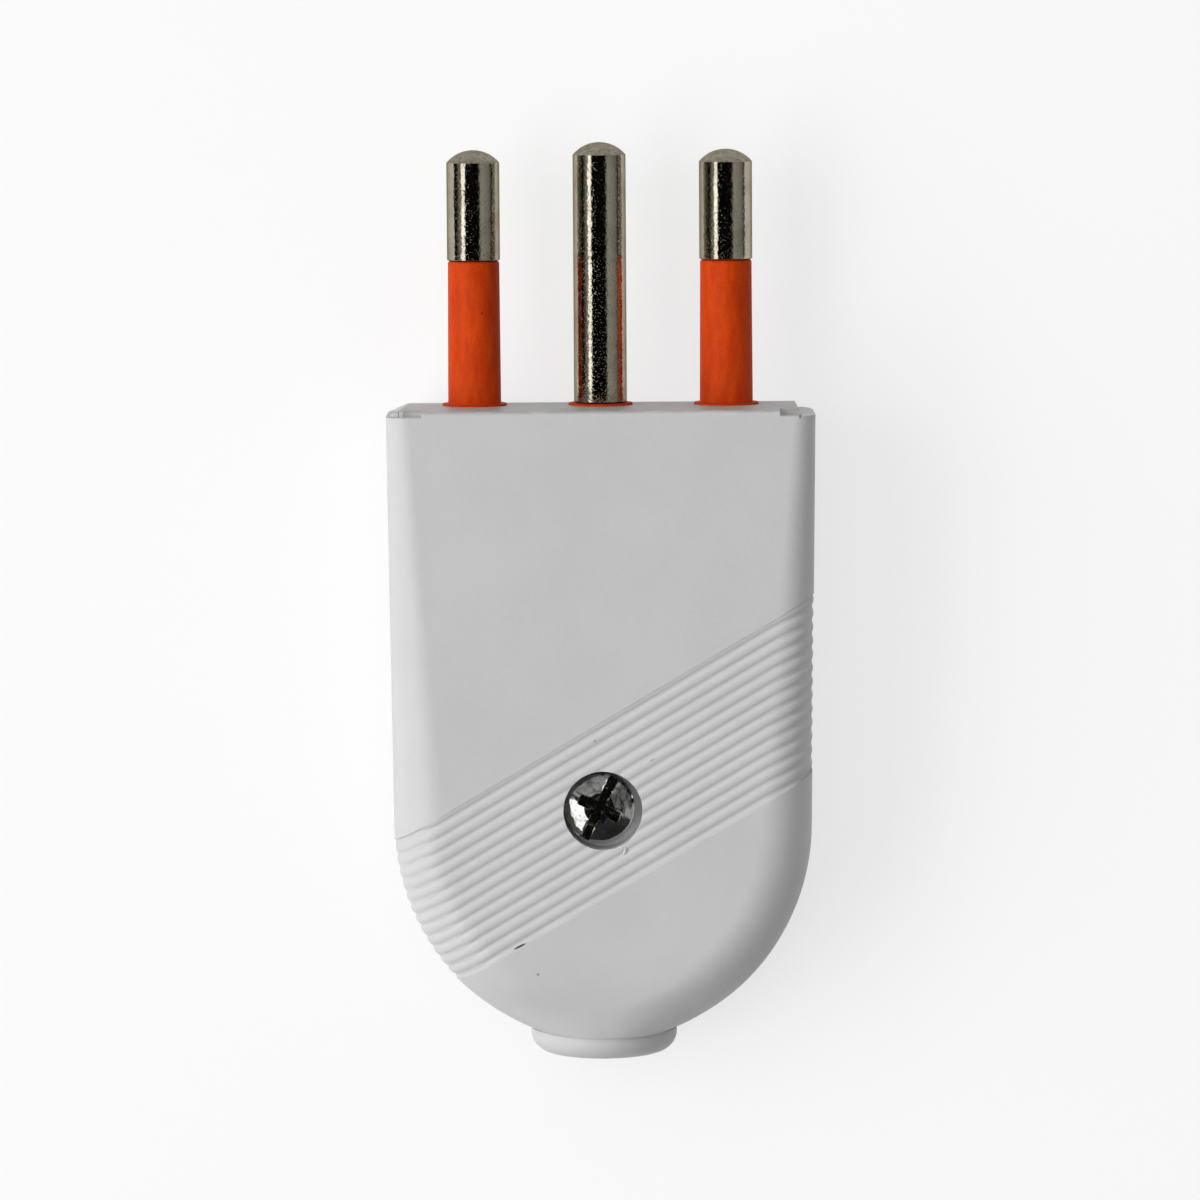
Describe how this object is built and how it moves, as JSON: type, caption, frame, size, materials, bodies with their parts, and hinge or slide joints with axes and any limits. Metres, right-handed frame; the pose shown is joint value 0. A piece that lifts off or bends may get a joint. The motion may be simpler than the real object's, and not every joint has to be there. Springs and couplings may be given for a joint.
{
  "type": "grounded plug",
  "caption": "Rewireable grounded plug with round pins in line, insulated line pins, a moulded two-part housing with a slanted band of grip ribs, a housing screw and a round cord entry.",
  "frame": {"origin": "on the earth pin's axis, at the face of the boss that the pin comes out of", "axes": "+Y along the pins towards their tips, +Z out of the front cover on the screw side, +X to the right seen from the front with the pins up"},
  "size_m": [0.032, 0.0691, 0.0145],
  "materials": {
    "housing": "fine satin",
    "carrier": "satin",
    "pins": "nickel plated",
    "screws": "zinc plated",
    "clamp": "zinc plated",
    "bush": "satin"
  },
  "bodies": {
    "root": {"front_cover": "housing", "rear_cover": "housing", "pin_carrier": "carrier", "live_pin": "pins", "neutral_pin": "pins", "earth_pin": "pins", "terminal_screws": "screws", "housing_screw": "screws", "housing_nut": "screws", "cord_clamp": "clamp", "cord_clamp_screws": "screws", "cord_bush": "bush"}
  },
  "joints": []
}
